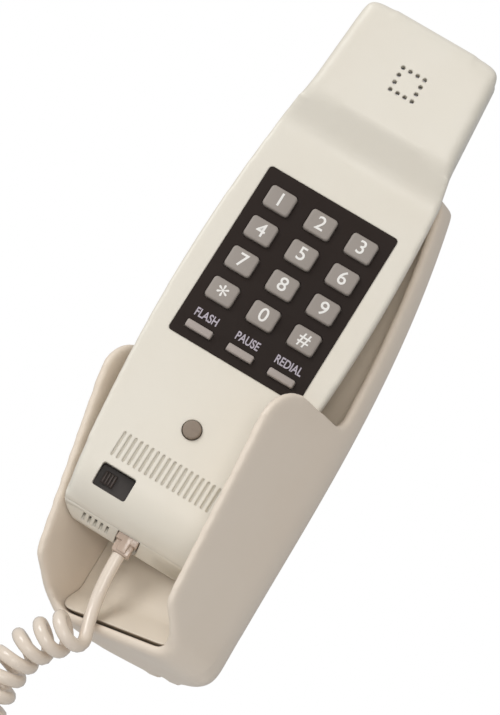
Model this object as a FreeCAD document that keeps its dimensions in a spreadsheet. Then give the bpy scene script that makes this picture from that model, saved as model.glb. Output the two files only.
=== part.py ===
import FreeCAD, Part
import Sketcher
import math
import os
from FreeCAD import Vector

# A one piece wall telephone: a handset with a keypad in its face, lying face out and a little
# rolled in a boat shaped wall cradle, with a curled cord that leaves over the cradle's lip.
# World frame: X to the right, Z up the wall, the wall at Y = 0 and the front towards minus Y.
# Origin: midway between the two keyholes, on the wall.
# The handset's pieces are drawn in its own frame: X across, Z towards the ear, face on Y = 0.

doc = FreeCAD.newDocument("wall_telephone")
sheet = doc.addObject("Spreadsheet::Sheet", "sheet")

DRIVING = {
    # Cradle, outer form
    "mount_to_foot": 94.4,
    "cradle_length": 185.0,
    "cradle_play": 1.3,
    "foot_width_share": 0.7828,
    "low_width_share": 0.941,
    "high_width_share": 0.9464,
    "top_width_share": 0.8472,
    "low_station": 69.0,
    "mid_station": 129.0,
    "high_station": 159.0,
    "flank_height": 10.2,
    "back_inset": 12.3,
    "flank_mitre": 0.47,
    "back_mitre": 1.3,
    "flank_radius": 30.0,
    "cradle_wall": 3.4,
    "foot_corner_radius": 11.0,
    "top_corner_radius": 12.0,
    "foot_flare": 0.1,
    "top_flare": 0.2,
    "form_depth": 72.0,
    # Cradle, front profile
    "lip_depth": 41.0,
    "lip_slant": 3.0,
    "lip_radius": 4.0,
    "cheek_corner_rise": 15.0,
    "cheek_corner_depth": 57.4,
    "cheek_corner_radius": 9.0,
    "cheek_length": 97.0,
    "cheek_depth": 66.5,
    "cheek_top_radius": 14.0,
    "cheek_drop": 1.5,
    "rim_depth": 22.7,
    "rim_corner_radius": 5.0,
    # Saddle
    "saddle_gap": 1.0,
    "saddle_skin": 2.2,
    "saddle_lip_depth": 39.4,
    "pocket_depth": 30.5,
    "ramp_length": 9.0,
    "heel_depth": 26.5,
    "heel_length": 26.0,
    "saddle_slope_length": 52.0,
    "saddle_depth": 16.5,
    "saddle_top_depth": 14.5,
    "ramp_radius": 9.0,
    "saddle_lip_radius": 3.0,
    "saddle_bend_radius": 30.0,
    # Back plate and its screws
    "plate_thickness": 2.0,
    "plate_edge_inset": 14.1,
    "plate_corner_radius": 5.0,
    "fit_clearance": 0.15,
    "keyhole_pitch": 100.0,
    "keyhole_radius": 4.5,
    "keyhole_slot_radius": 2.2,
    "keyhole_slot_length": 9.0,
    "latch_width": 3.5,
    "latch_height": 2.2,
    "boss_radius": 3.6,
    "boss_inset_foot": 26.0,
    "boss_inset_top": 20.0,
    "boss_share": 0.3217,
    "screw_radius": 1.5,
    "screw_head_radius": 2.7,
    "screw_head_height": 1.2,
    "screw_length": 9.0,
    "thread_clearance": 0.05,
    # Handset, place in the cradle
    "handset_x": 9.6,
    "handset_stand": 34.255,
    "handset_z": 44.18,
    "handset_yaw": 32.77,
    "handset_pitch": 5.13,
    "handset_roll": 1.02,
    # Handset, outer form
    "mouth_end": 107.0,
    "ear_end": 86.5,
    "handset_half_width": 32.6,
    "mouth_width_share": 0.7485,
    "grille_width_share": 0.908,
    "panel_width_share": 0.9755,
    "neck_width_share": 0.8865,
    "ear_width_share": 0.7975,
    "grille_station": 70.0,
    "widest_station": 25.0,
    "panel_station": 20.0,
    "neck_station": 56.0,
    "mouth_corner_radius": 8.0,
    "ear_corner_radius": 6.0,
    "mouth_flare": 0.17,
    "ear_flare": 0.1,
    "handset_wall": 2.2,
    "handset_depth": 22.0,
    "neck_depth": 19.0,
    "ear_depth": 13.5,
    "front_stock": 17.0,
    "neck_foot": 38.0,
    "neck_head": 49.0,
    "ridge_height": 9.0,
    "ear_face_height": 14.5,
    "neck_foot_radius": 11.0,
    "ridge_radius": 4.5,
    "ear_edge_radius": 3.5,
    "roll_station": 102.0,
    "roll_depth": 11.0,
    "roll_radius": 16.0,
    "ledge_length": 4.0,
    "ledge_depth": 19.4,
    "ledge_radius": 3.0,
    "back_edge_radius": 15.0,
    "split_mouth_depth": 11.4,
    "split_ear_depth": 3.0,
    # Keypad
    "panel_width": 48.9,
    "panel_top": 21.4,
    "panel_foot": 43.6,
    "panel_thickness": 1.4,
    "panel_proud": 0.3,
    "panel_corner_radius": 1.2,
    "key_pitch_across": 15.53,
    "key_pitch_along": 12.15,
    "key_width": 9.7,
    "key_length": 7.9,
    "key_corner_radius": 1.3,
    "key_proud": 1.7,
    "key_gap": 0.25,
    "key_flange": 0.9,
    "key_flange_thickness": 0.8,
    "key_travel": 1.2,
    "bar_width": 9.6,
    "bar_length": 2.7,
    "bar_station": 38.9,
    # Inside the handset
    "window_ledge": 2.0,
    "membrane_thickness": 0.8,
    "dome_radius": 2.6,
    "press_gap": 0.15,
    "board_thickness": 1.6,
    "board_inset": 0.95,
    "board_top": 36.0,
    "board_overhang": 9.4,
    "chip_width": 9.0,
    "chip_length": 24.0,
    "chip_height": 3.4,
    "coil_width": 10.0,
    "coil_length": 8.0,
    "coil_height": 7.0,
    "can_radius": 3.2,
    "can_height": 8.0,
    "post_radius": 3.2,
    "post_inset": 4.5,
    "post_foot": 58.0,
    "post_top": 31.0,
    "pilot_radius": 1.2,
    "case_screw_radius": 1.15,
    "case_screw_head_radius": 2.2,
    "case_screw_head_height": 1.4,
    "counterbore_radius": 2.5,
    "pillar_radius": 4.0,
    "counterbore_depth": 7.0,
    # Ear
    "ear_hole_station": 66.7,
    "ear_hole_pitch": 2.75,
    "ear_hole_radius": 0.75,
    "ear_tilt": 8.3,
    "receiver_radius": 15.5,
    "receiver_depth": 7.0,
    "receiver_front": 9.1,
    "gasket_width": 1.5,
    "gasket_depth": 1.2,
    # Mouth
    "hook_station": 68.6,
    "hook_radius": 3.6,
    "hook_proud": 1.5,
    "hook_gap": 0.2,
    "hook_flange": 1.0,
    "hook_travel": 1.2,
    "hook_switch_side": 8.0,
    "hook_switch_depth": 7.0,
    "grille_length": 8.9,
    "grille_pitch": 2.1,
    "grille_slot": 0.9,
    "grille_count": 18,
    "microphone_radius": 4.85,
    "microphone_depth": 4.5,
    "microphone_gap": 0.35,
    "boot_wall": 1.4,
    "boot_lip": 1.0,
    "mode_x": 12.55,
    "mode_station": 95.8,
    "mode_width": 12.7,
    "mode_height": 8.3,
    "mode_recess": 4.2,
    "mode_body_depth": 4.5,
    "slider_width": 4.6,
    "slider_height": 4.4,
    "slider_rise": 1.6,
    "slider_travel": 4.0,
    "ringer_radius": 13.5,
    "ringer_thickness": 3.4,
    "ringer_station": 34.0,
    "jack_width": 11.4,
    "jack_depth": 8.6,
    "jack_length": 13.0,
    "jack_centre": 14.8,
    "jack_front": 104.3,
    "plug_width": 7.65,
    "plug_depth": 6.5,
    "plug_length": 12.2,
    "plug_end": 113.4,
    "plug_clearance": 0.12,
    # Cord
    "cord_diameter": 4.3,
    "curl_diameter": 15.0,
    "curl_pitch": 7.0,
}

STAND = "sheet.handset_stand + sheet.handset_half_width * sin(sheet.handset_yaw * 1deg)"
HANDSET = (
    f"placement(vector(sheet.handset_x; -({STAND}); sheet.handset_z); "
    "rotation(sheet.handset_yaw; sheet.handset_pitch; sheet.handset_roll))"
)


def fill_sheet():
    """Write each driving dimension into its own cell, with its name beside it and as its alias."""
    for row, (name, number) in enumerate(DRIVING.items(), start=1):
        sheet.set(f"A{row}", name)
        sheet.set(f"B{row}", str(number))
        sheet.setAlias(f"B{row}", name)
    doc.recompute()


class Size:
    """A length worked out from cells: its number, and the expression that binds it to them."""

    def __init__(self, number, text):
        self.number = number
        self.text = text

    def __float__(self):
        return float(self.number)

    def __neg__(self):
        return Size(-self.number, f"-({self.text})")

    def __add__(self, other):
        other = size_of(other)
        return Size(self.number + other.number, f"{self.text} + {other.text}")

    def __radd__(self, other):
        return size_of(other) + self

    def __sub__(self, other):
        other = size_of(other)
        return Size(self.number - other.number, f"{self.text} - ({other.text})")

    def __rsub__(self, other):
        return size_of(other) - self

    def __mul__(self, factor):
        factor = size_of(factor)
        return Size(self.number * factor.number, f"({self.text}) * ({factor.text})")

    def __rmul__(self, factor):
        return self * factor

    def __truediv__(self, factor):
        factor = size_of(factor)
        return Size(self.number / factor.number, f"({self.text}) / ({factor.text})")


def size_of(value):
    """Give a bare number the same face as a size from the sheet."""
    return value if isinstance(value, Size) else Size(value, repr(float(value)))


class Cells:
    """The sheet's cells, read by name as sizes."""

    def __getattr__(self, name):
        return Size(float(sheet.get(name)), f"sheet.{name}")


fill_sheet()
cell = Cells()
NIL = size_of(0.0)
FOOT = -cell.mount_to_foot
TOP = cell.cradle_length - cell.mount_to_foot
HALF_WIDTH = cell.handset_half_width + cell.cradle_play + cell.cradle_wall
# How far a cutting outline reaches past the form that it cuts.
BEYOND = 5.0


def bind(target, name, size):
    """Set a property from a size, and bind it to the sheet where the size comes from there."""
    if "sheet." in size_of(size).text:
        target.setExpression(name, size.text)
    else:
        setattr(target, name, float(size))


def plane_of(body, role):
    """One of the body's own origin planes."""
    return next(item for item in body.Origin.OriginFeatures if item.Role == role)


def new_sketch(body, name, role, offset=0.0):
    """A sketch on the body's own plane, moved along the plane's normal by a size."""
    sketch = body.newObject("Sketcher::SketchObject", name)
    sketch.AttachmentSupport = [(plane_of(body, role), "")]
    sketch.MapMode = "FlatFace"
    offset = size_of(offset)
    sketch.AttachmentOffset = FreeCAD.Placement(Vector(0, 0, offset.number), FreeCAD.Rotation())
    if "sheet." in offset.text:
        sketch.setExpression("AttachmentOffset.Base.z", offset.text)
    return sketch


def pin_rules(geometry, which, x, y):
    """The rules that hold a point at two sizes measured from the sketch's origin."""
    rules = []
    for kind, axis, size in (("DistanceX", -2, size_of(x)), ("DistanceY", -1, size_of(y))):
        if size.number == 0.0:
            rules.append((Sketcher.Constraint("PointOnObject", geometry, which, axis), None))
        else:
            rules.append((Sketcher.Constraint(kind, -1, 1, geometry, which, size.number), size))
    return rules


def add_rules(sketch, rules):
    """Add constraints together, and bind those that carry a size from the sheet."""
    first = sketch.ConstraintCount
    sketch.addConstraint([rule for rule, size in rules])
    for index, (rule, size) in enumerate(rules, start=first):
        if size is not None and "sheet." in size.text:
            sketch.setExpression(f"Constraints[{index}]", size.text)


def draw_outline(sketch, corners):
    """A closed outline of straight lines through (x, y, radius) corners; a radius rounds its corner."""
    points = [Vector(float(x), float(y), 0) for x, y, radius in corners]
    count = len(points)
    starts, ends, arcs = [], [], {}
    for index, (x, y, radius) in enumerate(corners):
        here, before, after = points[index], points[index - 1], points[(index + 1) % count]
        if float(radius) == 0.0:
            ends.append(here)
            starts.append(here)
            continue
        inward = (before - here).normalize()
        outward = (after - here).normalize()
        half = inward.getAngle(outward) / 2
        reach = float(radius) / math.tan(half)
        centre = here + (inward + outward).normalize() * (float(radius) / math.sin(half))
        ends.append(here + inward * reach)
        starts.append(here + outward * reach)
        middle = centre + (here - centre).normalize() * float(radius)
        arcs[index] = Part.Arc(ends[index], middle, starts[index])
    lines = []
    for index in range(count):
        line = Part.LineSegment(starts[index], ends[(index + 1) % count])
        lines.append(sketch.addGeometry(line))
    rules = []
    for index, (x, y, radius) in enumerate(corners):
        before, after = lines[index - 1], lines[index]
        if index not in arcs:
            rules.append((Sketcher.Constraint("Coincident", before, 2, after, 1), None))
            rules += pin_rules(after, 1, x, y)
            continue
        arc = sketch.addGeometry(arcs[index])
        first = sketch.getPoint(arc, 1)
        start_is_end = (first - ends[index]).Length < (first - starts[index]).Length
        at_before, at_after = (1, 2) if start_is_end else (2, 1)
        rules.append((Sketcher.Constraint("Tangent", before, 2, arc, at_before), None))
        rules.append((Sketcher.Constraint("Tangent", arc, at_after, after, 1), None))
        rules.append((Sketcher.Constraint("Radius", arc, float(radius)), size_of(radius)))
        corner = sketch.addGeometry(Part.Point(points[index]), True)
        rules += pin_rules(corner, 1, x, y)
        rules.append((Sketcher.Constraint("PointOnObject", corner, 1, before), None))
        rules.append((Sketcher.Constraint("PointOnObject", corner, 1, after), None))
    add_rules(sketch, rules)


def draw_circle(sketch, x, y, radius):
    """A circle held by its centre and its radius."""
    circle = Part.Circle(Vector(float(x), float(y), 0), Vector(0, 0, 1), float(radius))
    number = sketch.addGeometry(circle)
    rules = pin_rules(number, 3, x, y)
    rules.append((Sketcher.Constraint("Radius", number, float(radius)), size_of(radius)))
    add_rules(sketch, rules)


def new_body(name, placement=None):
    """An empty body under its node name; handset pieces share the handset's place."""
    body = doc.addObject("PartDesign::Body", name)
    body.Label = name
    if placement:
        body.setExpression("Placement", placement)
    return body


def u_form(name, inset):
    """The cradle's boat form, drawn in by inset on every side: a loft up the wall, corners rounded."""
    body = new_body(name)
    stations = [
        (FOOT + inset, HALF_WIDTH * cell.foot_width_share),
        (FOOT + cell.low_station, HALF_WIDTH * cell.low_width_share),
        (FOOT + cell.mid_station, HALF_WIDTH),
        (FOOT + cell.high_station, HALF_WIDTH * cell.high_width_share),
        (TOP - inset, HALF_WIDTH * cell.top_width_share),
    ]
    sections = []
    for number, (height, half_width) in enumerate(stations):
        side = half_width - inset
        flank = -(cell.flank_height + cell.flank_mitre * inset)
        back = half_width - cell.back_inset - cell.back_inset / cell.flank_height * inset * cell.back_mitre
        radius = cell.flank_radius - inset
        sketch = new_sketch(body, f"{name}_section_{number}", "XY_Plane", height)
        draw_outline(sketch, [
            (-side, -cell.form_depth, 0),
            (-side, flank, radius),
            (-back, 0, 0),
            (back, 0, 0),
            (side, flank, radius),
            (side, -cell.form_depth, 0),
        ])
        sections.append(sketch)
    loft = body.newObject("PartDesign::AdditiveLoft", f"{name}_loft")
    loft.Profile = sections[0]
    loft.Sections = sections[1:]
    doc.recompute()
    return body


def add_pocket(body, name, role, corners, length, offset=0.0, symmetric=False, reverse=False):
    """Cut an outline out of the body, and make sure that it cut something."""
    doc.recompute()
    before = body.Shape.Volume
    sketch = new_sketch(body, f"{name}_sketch", role, offset)
    for outline in corners:
        draw_outline(sketch, outline)
    pocket = body.newObject("PartDesign::Pocket", name)
    pocket.Profile = sketch
    pocket.SideType = "Symmetric" if symmetric else "One side"
    pocket.Reversed = reverse
    bind(pocket, "Length", length)
    doc.recompute()
    if body.Shape.Volume > before - 0.01:
        raise RuntimeError(f"{name} cuts nothing")
    return pocket


def add_pad(body, name, role, corners, length, offset=0.0, symmetric=False, reverse=False):
    """Add an outline's pad to the body."""
    sketch = new_sketch(body, f"{name}_sketch", role, offset)
    for outline in corners:
        draw_outline(sketch, outline)
    pad = body.newObject("PartDesign::Pad", name)
    pad.Profile = sketch
    pad.SideType = "Symmetric" if symmetric else "One side"
    pad.Reversed = reverse
    bind(pad, "Length", length)
    doc.recompute()
    return pad


def corner_outline(side, x, z, up, flare, radius):
    """What a rounded corner of the plan loses: side is 1 or -1, up is the way into the form."""
    reach = radius * 1.3
    return [
        (side * (x - reach), z, 0),
        (side * x, z, radius),
        (side * (x + flare * reach), z + up * reach, 0),
        (side * (x + reach + BEYOND), z + up * reach, 0),
        (side * (x + reach + BEYOND), z - up * BEYOND, 0),
        (side * (x - reach), z - up * BEYOND, 0),
    ]


def round_form_corners(body, name, inset):
    """Round the plan's four corners, squarely to the wall."""
    for place, height, up, share, flare, radius in (
        ("foot", FOOT + inset, 1, cell.foot_width_share, cell.foot_flare, cell.foot_corner_radius),
        ("top", TOP - inset, -1, cell.top_width_share, cell.top_flare, cell.top_corner_radius),
    ):
        side_x = HALF_WIDTH * share - inset
        outlines = [corner_outline(side, side_x, height, up, flare, radius - inset) for side in (-1, 1)]
        length = cell.form_depth * 2
        add_pocket(body, f"{name}_{place}_corners", "XZ_Plane", outlines, length, symmetric=True)


def add_boolean(body, name, tool, kind):
    """Cut the body by another body, or keep only what the two share. Faces stay unmerged."""
    boolean = body.newObject("PartDesign::Boolean", name)
    boolean.setObjects([tool])
    boolean.Type = kind
    boolean.Refine = False
    doc.recompute()
    return boolean


def rectangle(x, z, width, length, radius=0):
    """The corners of an upright rectangle about a centre, rounded where a radius is given."""
    return [
        (x - width / 2, z - length / 2, radius),
        (x + width / 2, z - length / 2, radius),
        (x + width / 2, z + length / 2, radius),
        (x - width / 2, z + length / 2, radius),
    ]


def slab(body, name, outlines, back, front):
    """A pad of outlines in the upright plane, from the depth back out to the depth front."""
    return add_pad(body, name, "XZ_Plane", outlines, back - front, offset=-back)


def well(body, name, outlines, front, back):
    """A pocket of outlines in the upright plane, from the depth front in to the depth back."""
    return add_pocket(body, name, "XZ_Plane", outlines, back - front, offset=-front)


def round_wells(body, name, centres, radius, front, back):
    """Round holes along the depth, from the depth front in to the depth back."""
    doc.recompute()
    before = body.Shape.Volume
    sketch = new_sketch(body, f"{name}_sketch", "XZ_Plane", size_of(-front))
    for x, z in centres:
        draw_circle(sketch, x, z, radius)
    pocket = body.newObject("PartDesign::Pocket", name)
    pocket.Profile = sketch
    pocket.Refine = False
    bind(pocket, "Length", back - front)
    doc.recompute()
    if body.Shape.Volume > before - 0.01:
        raise RuntimeError(f"{name} cuts nothing")
    return pocket


def round_posts(body, name, centres, radius, back, front):
    """Round posts along the depth, from the depth back out to the depth front."""
    sketch = new_sketch(body, f"{name}_sketch", "XZ_Plane", size_of(-back))
    for x, z in centres:
        draw_circle(sketch, x, z, radius)
    pad = body.newObject("PartDesign::Pad", name)
    pad.Profile = sketch
    pad.Refine = False
    bind(pad, "Length", back - front)
    doc.recompute()
    return pad


# Cradle

def front_outline():
    """What lies in front of the cradle's edge: lip, sloped corner, cheek, drop and low rim."""
    return [
        (-cell.form_depth - BEYOND, FOOT - BEYOND, 0),
        (-cell.lip_depth + cell.lip_slant, FOOT - BEYOND, 0),
        (-cell.lip_depth, FOOT + cell.cradle_wall, cell.lip_radius),
        (-cell.cheek_corner_depth, FOOT + cell.cheek_corner_rise, cell.cheek_corner_radius),
        (-cell.cheek_depth, FOOT + cell.cheek_length, cell.cheek_top_radius),
        (-cell.rim_depth, FOOT + cell.cheek_length + cell.cheek_drop, cell.rim_corner_radius),
        (-cell.rim_depth, TOP + BEYOND, 0),
        (-cell.form_depth - BEYOND, TOP + BEYOND, 0),
    ]


def plate_outline(gap):
    """The back plate's outline, grown by a gap: it follows the cradle's back."""
    inset = cell.plate_edge_inset - gap
    radius = cell.plate_corner_radius
    foot = HALF_WIDTH * cell.foot_width_share - inset
    middle = HALF_WIDTH - inset
    top = HALF_WIDTH * cell.top_width_share - inset
    return [
        (-foot, FOOT + cell.cradle_wall - gap, radius),
        (foot, FOOT + cell.cradle_wall - gap, radius),
        (middle, FOOT + cell.mid_station, radius),
        (top, TOP - cell.cradle_wall + gap, radius),
        (-top, TOP - cell.cradle_wall + gap, radius),
        (-middle, FOOT + cell.mid_station, radius),
    ]


def make_cradle_shell():
    """The moulded shell: foot wall with its lip, two deep cheeks, a low rim up to the top end."""
    shell = u_form("cradle_shell", 0.0)
    round_form_corners(shell, "cradle_shell", 0.0)
    hollow = u_form("cradle_hollow", cell.cradle_wall)
    round_form_corners(hollow, "cradle_hollow", cell.cradle_wall)
    add_boolean(shell, "cradle_hollowed", hollow, "Cut")
    add_pocket(shell, "cradle_front", "YZ_Plane", [front_outline()], cell.form_depth * 3, symmetric=True)
    well(shell, "plate_seat", [plate_outline(cell.fit_clearance)], -cell.plate_thickness, NIL)
    latch = rectangle(NIL, FOOT, cell.latch_width, cell.cradle_wall * 3)
    well(shell, "latch_window", [latch], -cell.plate_thickness - cell.latch_height, NIL)
    return shell


def saddle_outline(drop, back):
    """The saddle seen from the side, its top sunk by drop: lip ramp, pocket floor, slope, bed."""
    ramp = FOOT + cell.cradle_wall + cell.saddle_gap
    pocket = ramp + cell.ramp_length
    heel = ramp + cell.heel_length
    bed = heel + cell.saddle_slope_length
    return [
        (back, FOOT, 0),
        (-cell.saddle_lip_depth + drop, FOOT, 0),
        (-cell.saddle_lip_depth + drop, ramp, cell.saddle_lip_radius),
        (-cell.pocket_depth + drop, pocket, cell.ramp_radius),
        (-cell.heel_depth + drop, heel, cell.saddle_bend_radius),
        (-cell.saddle_depth + drop, bed, cell.saddle_bend_radius),
        (-cell.saddle_top_depth + drop, TOP, 0),
        (back, TOP, 0),
    ]


def boss_centres(level=None):
    """The bosses that take the back plate's screws: the low pair, the high pair or both."""
    low = (FOOT + cell.boss_inset_foot,)
    high = (TOP - cell.boss_inset_top,)
    heights = {"low": low, "high": high, None: low + high}[level]
    return [(side * HALF_WIDTH * cell.boss_share, z) for side in (-1, 1) for z in heights]


def make_cradle_saddle():
    """The insert in the shell: pocket floor with its ramp to the lip, slope and flat bed, with skirts."""
    inset = cell.cradle_wall + cell.saddle_gap
    saddle = new_body("cradle_saddle")
    outline = saddle_outline(0.0, -cell.plate_thickness)
    add_pad(saddle, "saddle_block", "YZ_Plane", [outline], cell.form_depth * 2, symmetric=True)
    form = u_form("saddle_form", inset)
    round_form_corners(form, "saddle_form", inset)
    add_boolean(saddle, "saddle_trim", form, "Common")
    core = new_body("saddle_core")
    outline = saddle_outline(cell.saddle_skin, -cell.plate_thickness + 1.0)
    add_pad(core, "saddle_core_block", "YZ_Plane", [outline], cell.form_depth * 2, symmetric=True)
    hollow = u_form("saddle_hollow", inset + cell.saddle_skin)
    round_form_corners(hollow, "saddle_hollow", inset + cell.saddle_skin)
    add_boolean(core, "saddle_core_trim", hollow, "Common")
    add_boolean(saddle, "saddle_hollowed", core, "Cut")
    for level, depth in (("low", cell.heel_depth), ("high", cell.saddle_top_depth)):
        reach = -depth + cell.saddle_skin / 2
        centres = boss_centres(level)
        round_posts(saddle, f"bosses_{level}", centres, cell.boss_radius, -cell.plate_thickness, reach)
    pilots = cell.screw_radius + cell.thread_clearance
    round_wells(saddle, "saddle_pilots", boss_centres(), pilots, -cell.screw_length, -cell.plate_thickness)
    return saddle


def make_back_plate():
    """The flat plate in the shell's back, with two keyholes, four screw holes and a latch tab."""
    plate = new_body("cradle_back_plate")
    slab(plate, "plate", [plate_outline(0.0)], NIL, -cell.plate_thickness)
    heads = [(NIL, side * cell.keyhole_pitch / 2) for side in (-1, 1)]
    round_wells(plate, "keyhole_heads", heads, cell.keyhole_radius, -cell.plate_thickness, NIL)
    slots = [
        rectangle(
            NIL, side * cell.keyhole_pitch / 2 + cell.keyhole_slot_length / 2,
            cell.keyhole_slot_radius * 2, cell.keyhole_slot_length, cell.keyhole_slot_radius * 0.8,
        )
        for side in (-1, 1)
    ]
    well(plate, "keyhole_slots", slots, -cell.plate_thickness, NIL)
    shank = cell.screw_radius + cell.fit_clearance
    round_wells(plate, "plate_holes", boss_centres(), shank, -cell.plate_thickness, NIL)
    head = cell.screw_head_radius + cell.fit_clearance
    round_wells(plate, "plate_sinks", boss_centres(), head, -cell.screw_head_height, NIL)
    return plate


def screw_body(name, centres, shank_radius, head_radius, head_height, back, tip, placement=None):
    """A set of pan head screws whose heads lie flush with the depth back and whose tips reach tip."""
    body = new_body(name, placement)
    round_posts(body, f"{name}_heads", centres, head_radius, back, back - head_height)
    round_posts(body, f"{name}_shanks", centres, shank_radius, back - head_height, tip)
    return body


# Handset, in its own frame

MOUTH = -(cell.mouth_end + cell.ledge_length)
EAR = cell.ear_end


def handset_outline(inset):
    """The handset from the side, drawn in by inset: face, neck, ear block, back, ledge and roll."""
    return [
        (inset, -(cell.roll_station - inset * 0.4), cell.roll_radius - inset),
        (cell.roll_depth, -(cell.mouth_end - inset), 0),
        (cell.ledge_depth, MOUTH + inset, cell.ledge_radius),
        (cell.handset_depth + BEYOND, MOUTH + inset + 6.0, 0),
        (cell.handset_depth + BEYOND, EAR - inset, 0),
        (-cell.ear_face_height + inset, EAR - inset, cell.ear_edge_radius),
        (-cell.ridge_height + inset, cell.neck_head + inset * 0.4, cell.ridge_radius),
        (inset, cell.neck_foot + inset * 0.3, cell.neck_foot_radius),
    ]


def handset_form(name, inset, placement=None):
    """The handset's whole form, drawn in by inset: a loft of round backed sections, cut to outline."""
    body = new_body(name, placement)
    stations = [
        (MOUTH - 1.0, cell.mouth_width_share, cell.handset_depth),
        (-cell.grille_station, cell.grille_width_share, cell.handset_depth),
        (-cell.widest_station, 1.0, cell.handset_depth),
        (cell.panel_station, cell.panel_width_share, cell.handset_depth),
        (cell.neck_station, cell.neck_width_share, cell.neck_depth),
        (EAR + 1.0, cell.ear_width_share, cell.ear_depth),
    ]
    sections = []
    for number, (height, share, depth) in enumerate(stations):
        side = cell.handset_half_width * share - inset
        sketch = new_sketch(body, f"{name}_section_{number}", "XY_Plane", height)
        draw_outline(sketch, [
            (-side, -cell.front_stock, 0),
            (side, -cell.front_stock, 0),
            (side, depth - inset, cell.back_edge_radius - inset),
            (-side, depth - inset, cell.back_edge_radius - inset),
        ])
        sections.append(sketch)
    loft = body.newObject("PartDesign::AdditiveLoft", f"{name}_loft")
    loft.Profile = sections[0]
    loft.Sections = sections[1:]
    doc.recompute()
    frame = [
        (-cell.form_depth, -cell.form_depth * 2, 0),
        (cell.form_depth, -cell.form_depth * 2, 0),
        (cell.form_depth, cell.form_depth * 2, 0),
        (-cell.form_depth, cell.form_depth * 2, 0),
    ]
    outlines = [frame, handset_outline(inset)]
    add_pocket(body, f"{name}_profile", "YZ_Plane", outlines, cell.form_depth * 2, symmetric=True)
    for place, height, up, share, flare, radius in (
        ("mouth", MOUTH + inset, 1, cell.mouth_width_share, cell.mouth_flare, cell.mouth_corner_radius),
        ("ear", EAR - inset, -1, cell.ear_width_share, cell.ear_flare, cell.ear_corner_radius),
    ):
        side_x = cell.handset_half_width * share - inset
        corners = [corner_outline(side, side_x, height, up, flare, radius - inset) for side in (-1, 1)]
        length = cell.form_depth * 2
        add_pocket(body, f"{name}_{place}_corners", "XZ_Plane", corners, length, symmetric=True)
    return body


def split_outline(rear):
    """The half of the side view that a shell loses: what lies behind the split, or before it."""
    far = cell.form_depth if rear else -cell.form_depth
    return [
        (cell.split_mouth_depth, MOUTH - BEYOND, 0),
        (cell.split_ear_depth, EAR + BEYOND, 0),
        (far, EAR + BEYOND, 0),
        (far, MOUTH - BEYOND, 0),
    ]


BOARD_HALF = cell.panel_width / 2 - cell.board_inset
BOARD_FOOT = cell.hook_station + cell.board_overhang
MICROPHONE = BOARD_FOOT + cell.microphone_gap + cell.microphone_radius + cell.boot_wall


def post_centres():
    """The three places where the board and the two shells are screwed together."""
    spread = BOARD_HALF - cell.post_inset
    return [(NIL, cell.post_top), (-spread, -cell.post_foot), (spread, -cell.post_foot)]


PANEL_BACK = cell.panel_thickness - cell.panel_proud
KEY_BACK = PANEL_BACK + cell.press_gap + cell.key_flange_thickness
MEMBRANE_FRONT = KEY_BACK + cell.key_travel + cell.press_gap
MEMBRANE_BACK = MEMBRANE_FRONT + cell.membrane_thickness * 2
BOARD_BACK = MEMBRANE_BACK + cell.board_thickness
PANEL_CENTRE = (cell.panel_top - cell.panel_foot) / 2
PANEL_LENGTH = cell.panel_top + cell.panel_foot


def key_places():
    """Name, centre and size of each digit key and of each function bar."""
    places = []
    names = ["1", "2", "3", "4", "5", "6", "7", "8", "9", "star", "0", "hash"]
    for index, name in enumerate(names):
        x = (index % 3 - 1) * cell.key_pitch_across
        z = (1 - index // 3) * cell.key_pitch_along
        places.append((f"key_{name}", x, z, cell.key_width, cell.key_length, cell.key_corner_radius))
    for index, name in enumerate(["flash", "pause", "redial"]):
        x = (index - 1) * cell.key_pitch_across
        places.append((f"key_{name}", x, -cell.bar_station, cell.bar_width, cell.bar_length, 0.6))
    return places


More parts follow.
